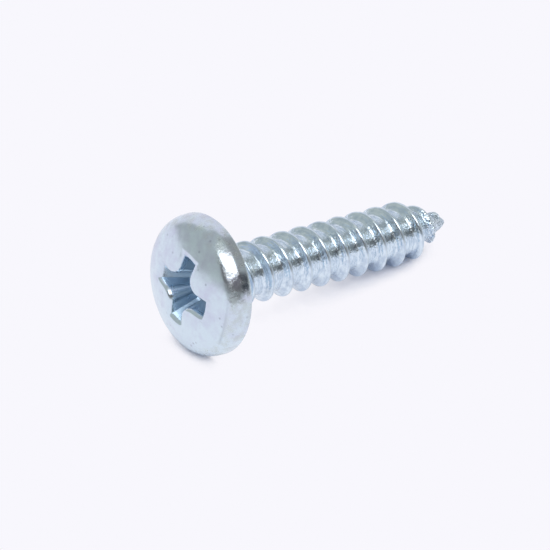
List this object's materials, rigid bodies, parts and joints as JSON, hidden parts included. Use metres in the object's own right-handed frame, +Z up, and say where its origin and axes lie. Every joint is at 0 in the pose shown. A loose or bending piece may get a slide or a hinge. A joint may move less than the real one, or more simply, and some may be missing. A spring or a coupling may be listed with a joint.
{
  "type": "screw",
  "caption": "Self-tapping screw lying on its side, with a low rounded pan head, a cross recess, a coarse sharp thread along the whole shank and a tapered point, in bright zinc.",
  "frame": {"origin": "on the floor under the middle of the bounding box, with the screw lying on its head's edge and one thread crest", "axes": "+X along the lying screw from the head towards the point, +Y to its left, +Z up from the floor; the axis of the screw dips 9.62 degrees below +X"},
  "size_m": [0.0182, 0.0078, 0.0078],
  "materials": {
    "zinc": "bright zinc plate with a clear blue passivate"
  },
  "bodies": {
    "root": {"screw": "zinc"}
  },
  "joints": []
}
